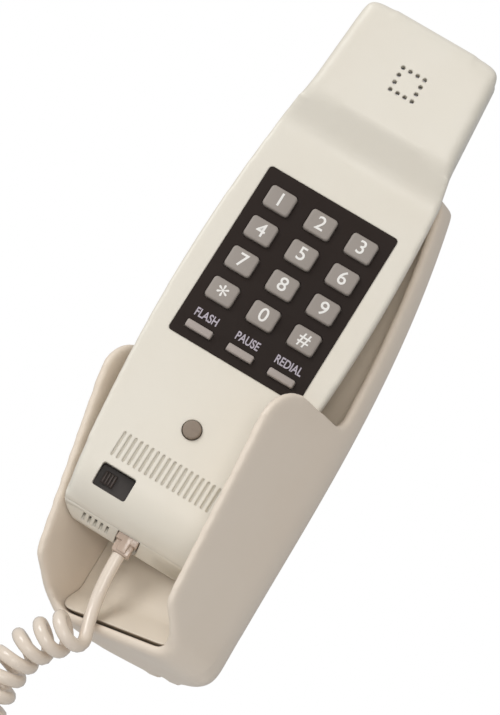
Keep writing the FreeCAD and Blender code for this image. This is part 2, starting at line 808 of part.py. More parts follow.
def make_front_shell():
    """The face half: keypad recess, ear holes, hook button hole, slotted grille, switch window."""
    shell = handset_form("handset_front_shell", 0.0, HANDSET)
    hollow = handset_form("front_hollow", cell.handset_wall)
    add_boolean(shell, "front_hollowed", hollow, "Cut")
    cut = [split_outline(True)]
    add_pocket(shell, "front_split", "YZ_Plane", cut, cell.form_depth * 2, symmetric=True)
    gap = cell.fit_clearance * 2
    radius = cell.panel_corner_radius
    recess = rectangle(NIL, PANEL_CENTRE, cell.panel_width + gap, PANEL_LENGTH + gap, radius)
    well(shell, "panel_recess", [recess], -cell.ear_face_height, PANEL_BACK)
    ledge = cell.window_ledge * 2
    window = rectangle(NIL, PANEL_CENTRE, cell.panel_width - ledge, PANEL_LENGTH - ledge, 1.0)
    well(shell, "panel_window", [window], NIL, cell.handset_wall * 2)
    ring = [(i, j) for i in range(4) for j in range(4) if i in (0, 3) or j in (0, 3)]
    holes = [
        ((i - 1.5) * cell.ear_hole_pitch, cell.ear_hole_station + (j - 1.5) * cell.ear_hole_pitch)
        for i, j in ring
    ]
    round_wells(shell, "ear_holes", holes, cell.ear_hole_radius, -cell.front_stock, -cell.ridge_height + 4.0)
    hook = [(NIL, -cell.hook_station)]
    round_wells(shell, "hook_hole", hook, cell.hook_radius + cell.hook_gap, NIL, cell.handset_wall * 2)
    first = -(cell.grille_count - 1) / 2 * cell.grille_pitch
    slot = rectangle(first, -MICROPHONE, cell.grille_slot, cell.grille_length, 0.3)
    pocket = well(shell, "grille_slot", [slot], -1.0, cell.handset_wall * 1.5)
    pattern = shell.newObject("PartDesign::LinearPattern", "grille")
    pattern.Originals = [pocket]
    pattern.Direction = (pocket.Profile[0], ["H_Axis"])
    pattern.Mode = "Spacing"
    bind(pattern, "Offset", cell.grille_pitch)
    pattern.Occurrences = int(float(cell.grille_count))
    shell.Tip = pattern
    doc.recompute()
    switch = rectangle(-cell.mode_x, -cell.mode_station, cell.mode_width, cell.mode_height, 1.0)
    well(shell, "mode_window", [switch], -1.0, cell.split_mouth_depth)
    posts = post_centres()
    round_posts(shell, "front_posts", posts, cell.post_radius, MEMBRANE_BACK, cell.handset_wall / 2)
    round_wells(shell, "front_pilots", posts, cell.pilot_radius, cell.handset_wall * 0.7, MEMBRANE_BACK)
    return shell


def make_rear_shell():
    """The back half: round back, sloped ledge with the cord socket's mouth, three screw pillars."""
    shell = handset_form("handset_rear_shell", 0.0, HANDSET)
    hollow = handset_form("rear_hollow", cell.handset_wall)
    add_boolean(shell, "rear_hollowed", hollow, "Cut")
    cut = [split_outline(False)]
    add_pocket(shell, "rear_split", "YZ_Plane", cut, cell.form_depth * 2, symmetric=True)
    depth = cell.plug_depth + cell.fit_clearance * 4
    width = cell.plug_width + cell.fit_clearance * 4
    mouth = rectangle(NIL, cell.jack_centre, width, depth)
    add_pocket(
        shell, "socket_mouth", "XY_Plane", [mouth], -MOUTH - cell.jack_front + BEYOND,
        offset=MOUTH - BEYOND, reverse=True,
    )
    pillars = post_centres()
    for name, centres, share in (("upper", pillars[:1], 1.25), ("lower", pillars[1:], 0.5)):
        back = cell.handset_depth - cell.handset_wall * share
        round_posts(shell, f"{name}_pillars", centres, cell.pillar_radius, back, BOARD_BACK)
    shank = cell.case_screw_radius + cell.fit_clearance
    round_wells(shell, "rear_holes", pillars, shank, BOARD_BACK, cell.handset_depth + 1.0)
    sink = cell.handset_depth - cell.counterbore_depth
    round_wells(shell, "rear_sinks", pillars, cell.counterbore_radius, sink, cell.handset_depth + 1.0)
    return shell


def make_panel():
    """The dark keypad panel with a window for every key."""
    panel = new_body("keypad_panel", HANDSET)
    outline = rectangle(NIL, PANEL_CENTRE, cell.panel_width, PANEL_LENGTH, cell.panel_corner_radius)
    slab(panel, "panel", [outline], PANEL_BACK, -cell.panel_proud)
    gap = cell.key_gap * 2
    for name, x, z, width, length, radius in key_places():
        window = rectangle(x, z, width + gap, length + gap, radius)
        well(panel, f"{name}_window", [window], -cell.panel_proud, PANEL_BACK)
    return panel


def make_key(name, x, z, width, length, radius):
    """A keycap with its flange behind the panel."""
    key = new_body(name, HANDSET)
    flange = cell.key_flange * 2
    front = PANEL_BACK + cell.press_gap
    slab(key, f"{name}_flange", [rectangle(x, z, width + flange, length + flange, radius)], KEY_BACK, front)
    slab(key, f"{name}_cap", [rectangle(x, z, width, length, radius)], front, -cell.key_proud)
    return key


def make_membrane():
    """The rubber sheet under the keys, with a dome beneath each."""
    sheet_body = new_body("keypad_membrane", HANDSET)
    ledge = cell.window_ledge * 2 + cell.fit_clearance * 2
    outline = rectangle(NIL, PANEL_CENTRE, cell.panel_width - ledge, PANEL_LENGTH - ledge, 1.0)
    slab(sheet_body, "membrane", [outline], MEMBRANE_BACK, MEMBRANE_FRONT + cell.membrane_thickness)
    centres = [(x, z) for name, x, z, width, length, radius in key_places()]
    back = MEMBRANE_FRONT + cell.membrane_thickness
    round_posts(sheet_body, "domes", centres, cell.dome_radius / 2, back, MEMBRANE_FRONT)
    return sheet_body


def make_board():
    """The circuit board behind the membrane, on the front shell's posts."""
    board = new_body("circuit_board", HANDSET)
    centre = (cell.board_top - BOARD_FOOT) / 2
    outline = rectangle(NIL, centre, BOARD_HALF * 2, cell.board_top + BOARD_FOOT, 2.0)
    slab(board, "board", [outline], BOARD_BACK, MEMBRANE_BACK)
    side = cell.hook_switch_side + cell.fit_clearance * 2
    well(board, "switch_cut", [rectangle(NIL, -cell.hook_station, side, side)], MEMBRANE_BACK, BOARD_BACK)
    holes = cell.case_screw_radius + cell.fit_clearance
    round_wells(board, "board_holes", post_centres(), holes, MEMBRANE_BACK, BOARD_BACK)
    return board


def make_board_parts():
    """The dialler chip, two capacitors and a coil, standing on the board's back."""
    parts = new_body("board_components", HANDSET)
    row, aside = cell.key_pitch_along, BOARD_HALF * 0.56
    chip = rectangle(NIL, -row * 0.65, cell.chip_width, cell.chip_length)
    slab(parts, "chip", [chip], BOARD_BACK + cell.chip_height, BOARD_BACK)
    coil = rectangle(-aside, row, cell.coil_width, cell.coil_length)
    slab(parts, "coil", [coil], BOARD_BACK + cell.coil_height, BOARD_BACK)
    cans = [(aside, row * 0.8), (aside, -row * 1.3), (-aside, -row * 1.8)]
    round_posts(parts, "capacitors", cans, cell.can_radius, BOARD_BACK + cell.can_height, BOARD_BACK)
    return parts


def disc(name, radius, length, y, z, tilt=0.0, along=0.0):
    """A round piece whose axis runs into the handset from (0, y, z), moved along that axis."""
    item = doc.addObject("Part::Cylinder", name)
    item.Label = name
    bind(item, "Radius", radius)
    bind(item, "Height", length)
    y, z, tilt, along = size_of(y), size_of(z), size_of(tilt), size_of(along)
    spot = f"placement(vector(0; {y.text}; {z.text}); rotation(0; 0; -90 + {tilt.text}))"
    shift = f"placement(vector(0; 0; {along.text}); rotation(0; 0; 0))"
    item.setExpression("Placement", f"{HANDSET} * {spot} * {shift}")
    return item


def boolean(kind, name, base, tool):
    """A Part boolean of two objects under its node name."""
    item = doc.addObject(kind, name)
    item.Label = name
    item.Base = base
    item.Tool = tool
    return item


def make_receiver():
    """The receiver capsule behind the ear holes, and the gasket that seals it to the shell."""
    y, z, tilt = -cell.receiver_front, cell.ear_hole_station, cell.ear_tilt
    radius, deep = cell.receiver_radius, cell.gasket_depth
    capsule = disc("receiver_capsule", radius, cell.receiver_depth, y, z, tilt, deep)
    outer = disc("gasket_outer", radius, deep, y, z, tilt)
    inner = disc("gasket_inner", radius - cell.gasket_width, deep, y, z, tilt)
    return [capsule, boolean("Part::Cut", "receiver_gasket", outer, inner)]


def make_microphone():
    """The microphone capsule in its rubber boot, behind the grille."""
    y, z = cell.handset_wall + cell.press_gap, -MICROPHONE
    radius, length, lip = cell.microphone_radius, cell.microphone_depth, cell.boot_lip
    boot = disc("boot_outer", radius + cell.boot_wall, length + lip, y, z)
    bore = disc("boot_bore", radius, length + lip, y, z)
    capsule = disc("microphone", radius, length, y + lip, z)
    return [boolean("Part::Cut", "microphone_boot", boot, bore), capsule]


HOOK_BACK = cell.handset_wall + cell.press_gap + cell.hook_flange


def make_hook_button():
    """The round hook button, a sprung cap with a flange behind the face."""
    button = new_body("hook_button", HANDSET)
    centre = [(NIL, -cell.hook_station)]
    front = cell.handset_wall + cell.press_gap
    round_posts(button, "hook_flange", centre, cell.hook_radius + cell.hook_flange, HOOK_BACK, front)
    round_posts(button, "hook_cap", centre, cell.hook_radius, front, -cell.hook_proud)
    return button


def make_hook_switch():
    """The hook switch that stands in the board's cut-out behind the button."""
    switch = new_body("hook_switch", HANDSET)
    front = HOOK_BACK + cell.hook_travel + cell.press_gap
    side = cell.hook_switch_side
    outline = rectangle(NIL, -cell.hook_station, side, side)
    slab(switch, "hook_switch_box", [outline], front + cell.hook_switch_depth, front)
    return switch


def make_mode_switch():
    """The slide switch at the mouth end: its dark frame in the window, and its slider."""
    frame = new_body("mode_switch", HANDSET)
    gap = cell.fit_clearance * 2
    front = cell.mode_recess
    outline = rectangle(
        -cell.mode_x, -cell.mode_station, cell.mode_width - gap, cell.mode_height - gap, 1.0,
    )
    slab(frame, "mode_frame", [outline], front + cell.mode_body_depth, front)
    slider = new_body("mode_slider", HANDSET)
    start = -cell.mode_x - cell.slider_travel / 2
    knob = rectangle(start, -cell.mode_station, cell.slider_width, cell.slider_height, 0.5)
    slab(slider, "mode_knob", [knob], front, front - cell.slider_rise)
    return [frame, slider]


def make_ringer():
    """The ringer's sounder disc, on the inside of the back."""
    length = cell.ringer_thickness
    y = cell.handset_depth - cell.handset_wall - length - cell.press_gap * 3
    return disc("ringer_disc", cell.ringer_radius, length, y, -cell.ringer_station)


def make_jack():
    """The cord socket behind the ledge, with its four contact springs."""
    jack = new_body("handset_jack", HANDSET)
    outline = rectangle(NIL, cell.jack_centre, cell.jack_width, cell.jack_depth)
    add_pad(jack, "jack_body", "XY_Plane", [outline], cell.jack_length, offset=-cell.jack_front)
    gap = cell.plug_clearance * 2
    cavity = rectangle(NIL, cell.jack_centre, cell.plug_width + gap, cell.plug_depth + gap)
    depth = cell.plug_length - (cell.plug_end - cell.jack_front) + 1.5
    add_pocket(jack, "jack_cavity", "XY_Plane", [cavity], depth, offset=-cell.jack_front, reverse=True)
    return jack


def make_plug():
    """The clear modular plug on the cord's end."""
    plug = new_body("handset_plug", HANDSET)
    outline = rectangle(NIL, cell.jack_centre, cell.plug_width, cell.plug_depth)
    add_pad(plug, "plug_body", "XY_Plane", [outline], cell.plug_length, offset=-cell.plug_end)
    return plug


# Cord, in the world frame

# The middle of the curls, from over the lip down past the cradle's foot; chosen points.
CURL_ROUTE = [
    (-4.4, -49.6, -96.5),
    (-10.4, -49.8, -100.7),
    (-15.9, -50.0, -105.2),
    (-20.4, -49.8, -110.6),
    (-23.4, -49.2, -118.2),
    (-24.6, -48.2, -128.0),
    (-24.2, -46.0, -150.0),
    (-22.0, -42.0, -180.0),
    (-21.0, -40.0, -207.0),
    (-20.5, -39.0, -230.0),
]


def in_world(x, y, z):
    """A point of the handset's frame, in the world frame."""
    turn = FreeCAD.Rotation(float(cell.handset_yaw), float(cell.handset_pitch), float(cell.handset_roll))
    stand = float(cell.handset_half_width) * math.sin(math.radians(float(cell.handset_yaw)))
    spot = Vector(float(cell.handset_x), -float(cell.handset_stand) - stand, float(cell.handset_z))
    return FreeCAD.Placement(spot, turn).multVec(Vector(float(x), float(y), float(z)))


def smooth_points(route, count=80):
    """Points close together on a smooth curve through the route."""
    knots = [Vector(*point) for point in route]
    knots = [knots[0] * 2 - knots[1]] + knots + [knots[-1] * 2 - knots[-2]]
    points = []
    for before, start, end, after in zip(knots, knots[1:], knots[2:], knots[3:]):
        for step in range(count):
            t = step / count
            points.append((
                start * 2 + (end - before) * t
                + (before * 2 - start * 5 + end * 4 - after) * t ** 2
                + (start * 3 - before - end * 3 + after) * t ** 3
            ) * 0.5)
    points.append(knots[-2])
    return points


def curl_points():
    """The cord's middle along the curls: a point and its tangent at each half turn."""
    radius = (float(cell.curl_diameter) - float(cell.cord_diameter)) / 2
    axis = smooth_points(CURL_ROUTE)
    across = Vector(0, 1, 0)
    trail = []
    length = 0.0
    for here, ahead in zip(axis, axis[1:]):
        along = (ahead - here).normalize()
        across = (across - along * across.dot(along)).normalize()
        phase = 2 * math.pi * length / float(cell.curl_pitch)
        side = along.cross(across)
        trail.append((phase, here + across * (radius * math.cos(phase)) + side * (radius * math.sin(phase))))
        length += (ahead - here).Length
    half_turns = int(trail[-1][0] / math.pi)

    def at(phase):
        """The point at a phase, between the two nearest on the trail."""
        index = next(i for i, (angle, point) in enumerate(trail) if angle >= phase or i == len(trail) - 1)
        (low, start), (high, end) = trail[max(index - 1, 0)], trail[max(index, 1)]
        return start + (end - start) * ((phase - low) / (high - low))

    small = 0.12
    stations = []
    for turn in range(half_turns):
        phase = turn * math.pi
        tangent = (at(phase + small) - at(max(phase - small, 0.0))).normalize()
        stations.append((at(phase), tangent))
    return stations


def biarc(start, start_way, end, end_way):
    """Two arcs that join two points along their two tangents, meeting smoothly."""
    chord = end - start
    both = start_way + end_way
    spread = 4.0 - both.dot(both)
    lean = chord.dot(both)
    reach = (-lean + math.sqrt(lean ** 2 + spread * chord.dot(chord))) / spread
    first = start + start_way * reach
    second = end - end_way * reach
    joint = (first + second) * 0.5
    arcs = []
    for low, corner, high in ((start, first, joint), (joint, second, end)):
        middle = (low + high) * 0.5
        rise = (corner - middle).Length
        half = (high - low).Length / 2
        sagitta = half * math.tan(math.atan(rise / half) / 2)
        arcs.append(Part.Arc(low, middle + (corner - middle) * (sagitta / rise), high).toShape())
    return arcs


def sweep(edges, way):
    """A round tube of the cord's diameter along edges, from the first edge's start."""
    start = edges[0].valueAt(edges[0].FirstParameter)
    circle = Part.Wire(Part.makeCircle(float(cell.cord_diameter) / 2, start, way))
    return Part.Wire(edges).makePipeShell([circle], True, False)


def bent_edges(points, label):
    """Straight runs through points, joined by tangent arcs; prints each bend's radius."""
    edges = []
    here = points[0]
    for before, corner, after in zip(points, points[1:], points[2:]):
        inward = (before - corner).normalize()
        outward = (after - corner).normalize()
        half_turn = (math.pi - inward.getAngle(outward)) / 2
        reach = 0.45 * min((before - corner).Length, (after - corner).Length)
        radius = reach / math.tan(half_turn)
        centre = corner + (inward + outward).normalize() * (radius / math.cos(half_turn))
        start, end = corner + inward * reach, corner + outward * reach
        middle = centre + (corner - centre).normalize() * radius
        edges.append(Part.LineSegment(here, start).toShape())
        edges.append(Part.Arc(start, middle, end).toShape())
        print(label, "bend radius", round(radius, 1))
        here = end
    edges.append(Part.LineSegment(here, points[-1]).toShape())
    return edges


def tube(name, edges):
    """A length of cord as a node; compares its volume with its section times its length."""
    way = edges[0].tangentAt(edges[0].FirstParameter)
    item = doc.addObject("Part::Feature", name)
    item.Label = name
    item.Shape = sweep(edges, way)
    length = sum(edge.Length for edge in edges)
    section = math.pi * float(cell.cord_diameter) ** 2 / 4
    print(name, "length", round(length, 1), "volume share", round(item.Shape.Volume / section / length, 4))
    return item


def least_gap(edges):
    """The least gap between neighbouring curls, measured on points along the cord's middle."""
    points = []
    for edge in edges:
        span = edge.LastParameter - edge.FirstParameter
        points += [edge.valueAt(edge.FirstParameter + span * step / 12) for step in range(12)]
    skip = 30
    near = min(
        (points[i] - points[j]).Length
        for i in range(len(points)) for j in range(i + skip, min(i + skip + 60, len(points)))
    )
    return near - float(cell.cord_diameter)


def make_cord():
    """The cord: a short straight piece from the plug, the curls, the tail and the wall plug."""
    thick = float(cell.cord_diameter)
    stations = curl_points()
    start, start_way = stations[0]
    end, end_way = stations[-1]
    arcs = []
    for (low, low_way), (high, high_way) in zip(stations, stations[1:]):
        arcs += biarc(low, low_way, high, high_way)
    lead = start - start_way * thick
    trail = end + end_way * thick
    edges = [Part.LineSegment(lead, start).toShape()] + arcs + [Part.LineSegment(end, trail).toShape()]
    curls = tube("cord_curls", edges)
    print("curls", len(stations) / 2, "least gap", round(least_gap(arcs), 2))
    exit_point = in_world(0, cell.jack_centre, -cell.plug_end)
    exit_way = exit_point - in_world(0, cell.jack_centre, -cell.plug_end + 1.0)
    straight = tube("cord_straight", bent_edges(
        [exit_point, exit_point + exit_way * 8.0, lead - start_way * 6.0, lead], "cord_straight",
    ))
    down = Vector(0, 0, -1)
    slant = (end_way + down).normalize()
    first = trail + end_way * 11.0
    second = first + slant * 14.0
    third = second + down * 11.0
    tail = tube("cord_tail", bent_edges([trail, first, second, third], "cord_tail"))
    plug = doc.addObject("Part::Box", "wall_plug")
    plug.Label = "wall_plug"
    bind(plug, "Length", cell.plug_width)
    bind(plug, "Width", cell.plug_depth)
    bind(plug, "Height", cell.plug_length)
    corner = Vector(-float(cell.plug_width) / 2, -float(cell.plug_depth) / 2, -float(cell.plug_length))
    plug.Placement = FreeCAD.Placement(third + corner, FreeCAD.Rotation())
    return [straight, curls, tail, plug]


def main():
    """Build every node, check it and write it out."""
    nodes = [make_cradle_shell(), make_cradle_saddle(), make_back_plate()]
    nodes.append(screw_body(
        "cradle_screws", boss_centres(), cell.screw_radius, cell.screw_head_radius,
        cell.screw_head_height, NIL, -cell.screw_length + 1.0,
    ))
    nodes += [make_front_shell(), make_rear_shell(), make_panel()]
    nodes += [make_key(*place) for place in key_places()]
    nodes += [make_membrane(), make_board(), make_board_parts()]
    nodes += make_receiver() + make_microphone()
    nodes += [make_hook_button(), make_hook_switch()] + make_mode_switch()
    nodes += [make_ringer(), make_jack(), make_plug()] + make_cord()
    nodes.append(screw_body(
        "handset_screws", post_centres(), cell.case_screw_radius, cell.case_screw_head_radius,
        cell.case_screw_head_height,
        cell.handset_depth - cell.counterbore_depth + cell.case_screw_head_height,
        cell.handset_wall, HANDSET,
    ))
    doc.recompute()
    os.makedirs("parts", exist_ok=True)
    for item in doc.Objects:
        if "Invalid" in item.State or "Error" in item.State:
            raise RuntimeError(f"{item.Label} failed: {item.State}")
    for node in nodes:
        shape = node.Shape
        if shape.isNull() or not shape.isValid():
            raise RuntimeError(f"{node.Label} has no valid shape")
        shape.exportStep(f"parts/{node.Label}.step")
        print(node.Label, len(shape.Solids), round(shape.Volume))


main()
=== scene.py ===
import bpy
import bmesh
import math
from mathutils import Matrix, Vector


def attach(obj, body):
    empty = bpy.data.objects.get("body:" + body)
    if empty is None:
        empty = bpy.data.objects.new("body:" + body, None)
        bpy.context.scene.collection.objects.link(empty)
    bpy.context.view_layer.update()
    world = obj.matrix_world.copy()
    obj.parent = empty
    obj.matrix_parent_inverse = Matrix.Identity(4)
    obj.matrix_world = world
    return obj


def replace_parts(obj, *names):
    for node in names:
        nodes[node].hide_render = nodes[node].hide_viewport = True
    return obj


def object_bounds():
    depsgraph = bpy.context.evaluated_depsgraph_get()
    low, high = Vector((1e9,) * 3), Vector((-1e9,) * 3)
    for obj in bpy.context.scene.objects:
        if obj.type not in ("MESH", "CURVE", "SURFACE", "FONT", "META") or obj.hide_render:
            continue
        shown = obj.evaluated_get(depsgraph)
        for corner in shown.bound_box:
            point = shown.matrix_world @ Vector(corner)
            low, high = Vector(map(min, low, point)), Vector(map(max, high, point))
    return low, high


# A wall telephone: a slim ivory handset with its keypad in the face lies face out in a boat
# shaped wall cradle, and its curled cord leaves over the cradle's lip.
# Shapes are written in millimetres, and MM makes metres of them. The handset's pieces are
# written in its own frame: X across, Y from the face inwards, Z towards the ear.

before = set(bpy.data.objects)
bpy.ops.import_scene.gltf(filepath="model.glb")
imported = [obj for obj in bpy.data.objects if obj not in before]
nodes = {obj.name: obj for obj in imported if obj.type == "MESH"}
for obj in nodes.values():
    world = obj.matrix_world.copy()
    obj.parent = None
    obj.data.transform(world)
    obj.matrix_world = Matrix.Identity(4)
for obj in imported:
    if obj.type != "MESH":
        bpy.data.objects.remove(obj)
cad_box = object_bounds()
MM = 0.001
ACROSS, DEPTH = 0, 1


# Places

def turned(yaw, pitch, roll):
    """The handset's turn in the cradle, as the model states it."""
    return (
        Matrix.Rotation(math.radians(yaw), 4, "Z")
        @ Matrix.Rotation(math.radians(pitch), 4, "Y")
        @ Matrix.Rotation(math.radians(roll), 4, "X")
    )


HANDSET = Matrix.Translation(Vector((9.6, -51.9, 44.18)) * MM) @ turned(32.77, 5.13, 1.02)
# A flat drawing on the handset's face: its X across, its Y towards the ear, its Z out of the face.
FACE = HANDSET @ Matrix(((1, 0, 0, 0), (0, 0, -1, 0), (0, 1, 0, 0), (0, 0, 0, 1)))


def on_handset(x, y, z):
    """A point of the handset's frame, in millimetres, as a point of the row frame in metres."""
    return HANDSET @ (Vector((x, y, z)) * MM)


# Shapes

PRISM_STEPS = 8
JOIN_DISTANCE = 2e-6
SHARP_ANGLE = math.radians(38.0)


def linked(name, data):
    """A new object in the scene."""
    item = bpy.data.objects.new(name, data)
    bpy.context.scene.collection.objects.link(item)
    return item


def made_mesh(name, made):
    """Write a bmesh out as a mesh."""
    mesh = bpy.data.meshes.new(name)
    made.to_mesh(mesh)
    made.free()
    return mesh


def block(low, high, corner=0.0, rim=0.0, steps=5):
    """A box between two corners, with its edges along the depth and then its front rim rounded."""
    made = bmesh.new()
    bmesh.ops.create_cube(made, size=1.0)
    low, high = Vector(low) * MM, Vector(high) * MM
    bmesh.ops.scale(made, vec=high - low, verts=made.verts)
    bmesh.ops.translate(made, vec=(low + high) / 2, verts=made.verts)
    rounding = {"segments": steps, "affect": "EDGES", "profile": 0.5, "material": -1}
    if corner:
        along = [
            edge for edge in made.edges
            if abs(edge.verts[0].co.y - edge.verts[1].co.y) > 0.9 * (high - low).y
        ]
        bmesh.ops.bevel(made, geom=along, offset=corner * MM, **rounding)
    if rim:
        front = [
            edge for edge in made.edges if all(vert.co.y < low.y + 1e-7 for vert in edge.verts)
        ]
        bmesh.ops.bevel(made, geom=front, offset=rim * MM, **rounding)
    return made_mesh("block", made)


def post(centre, radius, low, high, sides):
    """A round post at (x, z), from the depth low to the depth high."""
    made = bmesh.new()
    bmesh.ops.create_cone(
        made, cap_ends=True, segments=sides, radius1=radius * MM, radius2=radius * MM,
        depth=(high - low) * MM,
    )
    turn = Matrix.Rotation(math.radians(90.0), 4, "X")
    middle = Vector((centre[0], (low + high) / 2, centre[1])) * MM
    bmesh.ops.transform(made, matrix=Matrix.Translation(middle) @ turn, verts=made.verts)
    return made_mesh("post", made)


def prism(outline, low, high, axis):
    """A closed outline of (first, second, radius) corners, drawn out along an axis."""
    made = bmesh.new()
    others = [index for index in range(3) if index != axis]
    corners = []
    for first, second, radius in outline:
        spot = [0.0, 0.0, 0.0]
        spot[axis], spot[others[0]], spot[others[1]] = low * MM, first * MM, second * MM
        corners.append(made.verts.new(spot))
    made.faces.new(corners)
    for corner, (_, _, radius) in zip(corners, outline):
        if radius:
            edges = corner.link_edges
            way = [(edge.other_vert(corner).co - corner.co).normalized() for edge in edges]
            reach = radius * MM / math.tan(way[0].angle(way[1]) / 2)
            bmesh.ops.bevel(
                made, geom=[corner], offset=reach, offset_type="OFFSET", affect="VERTICES",
                segments=PRISM_STEPS, profile=0.5, material=-1,
            )
    raised = bmesh.ops.extrude_face_region(made, geom=made.faces[:])["geom"]
    shift = Vector([(high - low) * MM if index == axis else 0.0 for index in range(3)])
    lifted = [item for item in raised if isinstance(item, bmesh.types.BMVert)]
    bmesh.ops.translate(made, vec=shift, verts=lifted)
    bmesh.ops.recalc_face_normals(made, faces=made.faces)
    return made_mesh("prism", made)


def gathered(meshes):
    """Several closed meshes as one."""
    made = bmesh.new()
    for mesh in meshes:
        made.from_mesh(mesh)
        bpy.data.meshes.remove(mesh)
    return made_mesh("gathered", made)


def after_modifier(mesh, kind, settings):
    """The mesh that one modifier makes of a mesh."""
    holder = linked("holder", mesh)
    step = holder.modifiers.new("step", kind)
    for name, value in settings.items():
        setattr(step, name, value)
    bpy.context.view_layer.update()
    graph = bpy.context.evaluated_depsgraph_get()
    result = bpy.data.meshes.new_from_object(holder.evaluated_get(graph))
    bpy.data.objects.remove(holder)
    return result


def carved(mesh, tool, operation="DIFFERENCE"):
    """The mesh after a boolean with a tool; both are closed."""
    cutter = linked("cutter", tool)
    settings = {"operation": operation, "object": cutter, "solver": "MANIFOLD"}
    result = after_modifier(mesh, "BOOLEAN", settings)
    bpy.data.objects.remove(cutter)
    return result


def softened(mesh, fineness, *zones):
    """The mesh rebuilt from even faces; a zone is a test of a place and its smoothing rounds."""
    even = after_modifier(mesh, "REMESH", {"mode": "VOXEL", "voxel_size": fineness * MM})
    made = bmesh.new()
    made.from_mesh(even)
    for test, rounds in zones:
        verts = [vert for vert in made.verts if test(vert.co / MM)]
        for _ in range(rounds):
            bmesh.ops.smooth_vert(
                made, verts=verts, factor=0.5, use_axis_x=True, use_axis_y=True, use_axis_z=True,
            )
    return made_mesh("softened", made)


def closed_copy(name, place=None):
    """A model node's mesh with its loose triangles joined, in the frame of a place."""
    made = bmesh.new()
    made.from_mesh(nodes[name].data)
    bmesh.ops.remove_doubles(made, verts=made.verts, dist=JOIN_DISTANCE)
    if place is not None:
        bmesh.ops.transform(made, matrix=place.inverted(), verts=made.verts)
    return made_mesh("closed_copy", made)


def mesh_of_curve(name, curve):
    """The mesh that a curve or a lettering draws."""
    maker = linked(name, curve)
    bpy.context.view_layer.update()
    mesh = bpy.data.meshes.new_from_object(maker)
    bpy.data.objects.remove(maker)
    return mesh


def riding(name, mesh, body):
    """A mesh as a piece that rides on a body."""
    piece = linked(name, mesh)
    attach(piece, body)
    return piece


def finished(name, mesh, finish, body, node, place=None):
    """Give a mesh its place, finish and body, and hide the node that it stands for."""
    if place is not None:
        mesh.transform(place)
    mesh.materials.clear()
    mesh.materials.append(finish)
    for face in mesh.polygons:
        face.material_index = 0
        face.use_smooth = True
    mesh.set_sharp_from_angle(angle=SHARP_ANGLE)
    mesh.name = name
    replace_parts(riding(name, mesh, body), node)


# Shader maths

class Wire:
    """A shader socket that takes part in Python sums; each sum adds its Math node."""

    def __init__(self, finish, socket):
        self.finish = finish
        self.socket = socket

    def sum(self, operation, first, second):
        return self.finish.node("ShaderNodeMath", {"operation": operation}, {0: first, 1: second})

    def __add__(self, other):
        return self.sum("ADD", self, other)

    def __rsub__(self, other):
        return self.sum("SUBTRACT", other, self)

    def __mul__(self, other):
        return self.sum("MULTIPLY", self, other)


class Finish:
    """The node tree of a material or a world, with its own shader ready."""

    def __init__(self, holder, shader="Principled BSDF", place="Object"):
        self.holder = holder
        holder.use_nodes = True
        self.tree = holder.node_tree
        self.shader = self.tree.nodes[shader]
        self.place = self.node("ShaderNodeTexCoord", out=place)

    def put(self, socket, value):
        """Give a socket a value, or link it."""
        if isinstance(value, Wire):
            self.tree.links.new(value.socket, socket)
        else:
            socket.default_value = value

    def node(self, kind, settings=None, sockets=None, out=0):
        """Add a node: its settings first, then its sockets' values or links; gives one output."""
        made = self.tree.nodes.new(kind)
        for name, value in (settings or {}).items():
            setattr(made, name, value)
        for key, value in (sockets or {}).items():
            self.put(made.inputs[key], value)
        return Wire(self, made.outputs[out])

    def set(self, **sockets):
        """Set or link the shader's own sockets; an underscore stands for a space."""
        for name, value in sockets.items():
            self.put(self.shader.inputs[name.replace("_", " ")], value)

    def noise(self, scale, detail, rough):
        """Even noise from 0 to 1 on the object's own place, scale in features per metre."""
        sockets = {"Vector": self.place, "Scale": scale, "Detail": detail, "Roughness": rough}
        return self.node("ShaderNodeTexNoise", None, sockets)

    def spread(self, value, low, high, to_low, to_high):
        """A value mapped from one range to another, held at its ends."""
        sockets = {"Value": value, 1: low, 2: high, 3: to_low, 4: to_high}
        return self.node("ShaderNodeMapRange", {"clamp": True}, sockets)

    def blend(self, share, first, second):
        """Two colours mixed by a share."""
        sockets = {0: share, 6: first, 7: second}
        return self.node("ShaderNodeMix", {"data_type": "RGBA"}, sockets, out=2)

    def bump(self, height, distance, strength, normal):
        """A bump from a height, over a normal."""
        sockets = {"Height": height, "Distance": distance, "Strength": strength, "Normal": normal}
        return self.node("ShaderNodeBump", None, sockets)


def colour(red, green, blue):
    """A colour written in screen steps of 0 to 255, as the shader's linear numbers."""
    def linear(step):
        step /= 255
        return step / 12.92 if step < 0.04045 else ((step + 0.055) / 1.055) ** 2.4
    return (linear(red), linear(green), linear(blue), 1.0)


# Moulded plastic: features per metre, detail and roughness of its three noises, and their shares
DRIFT, FINE, SCUFF = (14.0, 4.0, 0.55), (2600.0, 2.0, 0.6), (90.0, 5.0, 0.7)
DRIFT_SHARE, SCUFF_SHARE = 0.35, 0.12
GRAIN_HEIGHT, GRAIN_STRENGTH = 0.00003, 0.6


